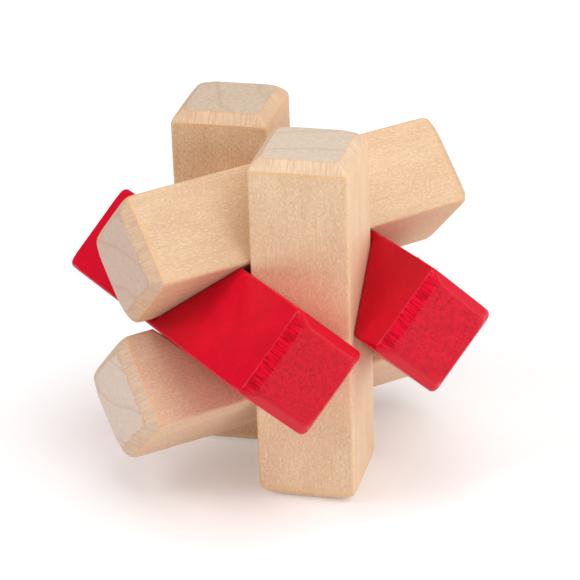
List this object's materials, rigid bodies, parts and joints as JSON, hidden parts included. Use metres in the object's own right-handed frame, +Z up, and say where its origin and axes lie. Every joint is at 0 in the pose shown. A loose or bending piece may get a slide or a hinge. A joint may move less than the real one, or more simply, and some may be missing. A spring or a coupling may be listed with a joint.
{
  "type": "burr puzzle",
  "caption": "Six-stick diagonal burr puzzle: square wooden sticks cross corner to corner in three pairs, two of them lacquered red, locked by a plain key bar that slides out.",
  "frame": {"origin": "on the resting plane, under the centre of the assembled puzzle's box", "axes": "+Z up along the two uprights; +Y along the red bars, away from the front upright; +X along the key bar and the lower crossbar"},
  "size_m": [0.0934, 0.09, 0.09],
  "materials": {
    "natural_wood": "bare sanded pale hardwood, matt to satin, with fine flecks along the grain",
    "red_lacquered_wood": "thick glossy red lacquer over the same wood"
  },
  "bodies": {
    "front_upright": {"front_upright": "natural_wood"},
    "rear_upright": {"rear_upright": "natural_wood"},
    "key_bar": {"key_bar": "natural_wood"},
    "lower_crossbar": {"lower_crossbar": "natural_wood"},
    "left_red_bar": {"left_red_bar": "red_lacquered_wood"},
    "right_red_bar": {"right_red_bar": "red_lacquered_wood"}
  },
  "joints": [
    {"name": "key_slide", "type": "slide", "parent": "left_red_bar", "child": "key_bar", "axis": [1, 0, 0], "range_m": [-0.084, 0.078]},
    {"name": "spread", "type": "slide", "parent": "front_upright", "child": "rear_upright", "axis": [0, 1, 0], "range_m": [0, 0.03]},
    {"name": "lower_crossbar_spread", "type": "slide", "parent": "front_upright", "child": "lower_crossbar", "axis": [0, 1, 0], "range_m": [0, 0.0151]},
    {"name": "left_red_spread", "type": "slide", "parent": "front_upright", "child": "left_red_bar", "axis": [-0.5774, 0.5774, 0.5774], "range_m": [0, 0.0261]},
    {"name": "right_red_spread", "type": "slide", "parent": "front_upright", "child": "right_red_bar", "axis": [0.5774, 0.5774, 0.5774], "range_m": [0, 0.0261]}
  ],
  "couplings": [
    {"joint": "lower_crossbar_spread", "follows": "spread", "ratio": 0.5},
    {"joint": "left_red_spread", "follows": "spread", "ratio": 0.86603},
    {"joint": "right_red_spread", "follows": "spread", "ratio": 0.86603}
  ]
}
